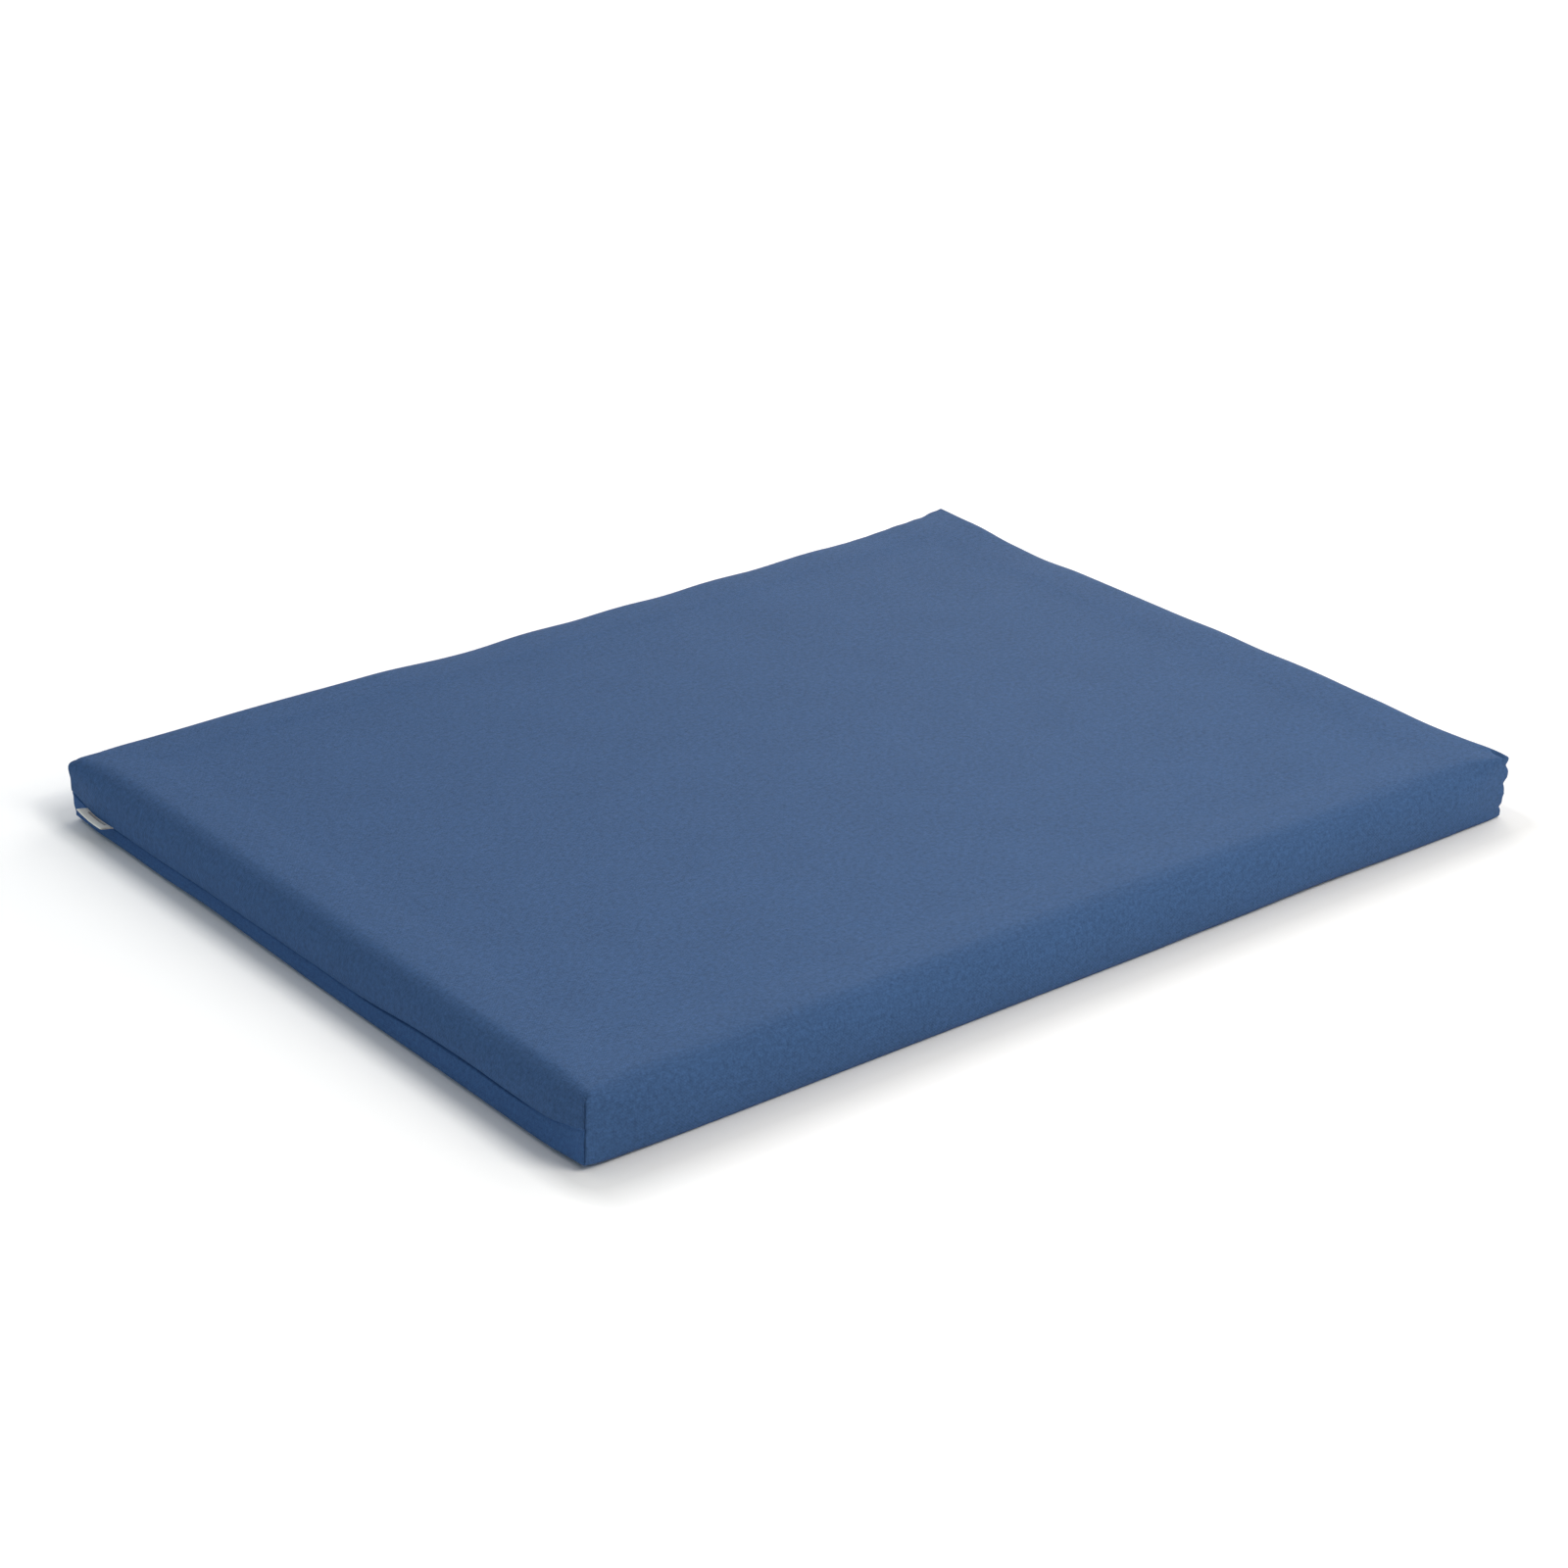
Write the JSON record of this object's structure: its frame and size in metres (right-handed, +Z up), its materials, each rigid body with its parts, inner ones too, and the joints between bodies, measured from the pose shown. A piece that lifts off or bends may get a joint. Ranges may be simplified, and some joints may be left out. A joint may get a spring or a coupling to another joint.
{
  "type": "exercise floor mat",
  "caption": "Flat rectangular mat: a foam slab wrapped in wadding inside a twill cover that is folded at the front, seamed at both ends and closed by a coil zip along the back.",
  "frame": {"origin": "middle of the flat underside, on the surface that the mat lies on", "axes": "+Z up, +X along the folded front edge, +Y towards the zipped back"},
  "size_m": [0.911, 0.7041, 0.055],
  "materials": {
    "cover_twill": "matte",
    "liner_cotton": "matte",
    "foam": "matte",
    "wadding": "matte",
    "label_ribbon": "matte",
    "zip_tape": "matte",
    "zip_coil": "satin",
    "zip_cord": "matte",
    "stop_metal": "satin",
    "slider_metal": "satin"
  },
  "bodies": {
    "mat": {"cover_wrap": "cover_twill", "core_liner": "liner_cotton", "foam_core": "foam", "wadding_upper": "wadding", "wadding_lower": "wadding", "side_label": "label_ribbon", "zip_tape_upper": "zip_tape", "zip_tape_lower": "zip_tape", "zip_coil_upper": "zip_coil", "zip_coil_lower": "zip_coil", "zip_cord_upper": "zip_cord", "zip_cord_lower": "zip_cord", "zip_top_stops": "stop_metal", "zip_bottom_stop": "stop_metal"},
    "zip_slider": {"slider_body": "slider_metal"},
    "zip_pull": {"pull_tab": "slider_metal"}
  },
  "joints": [
    {"name": "zip_slide", "type": "slide", "parent": "mat", "child": "zip_slider", "axis": [1, 0, 0], "range_m": [0, 0.5874], "deforming": ["zip_coil_upper", "zip_coil_lower", "zip_tape_upper", "zip_tape_lower"]},
    {"name": "pull_flip", "type": "hinge", "parent": "zip_slider", "child": "zip_pull", "pos_m": [-0.2937, 0.3524, 0.0275], "axis": [0, 0, 1], "range_deg": [0, 180]}
  ]
}
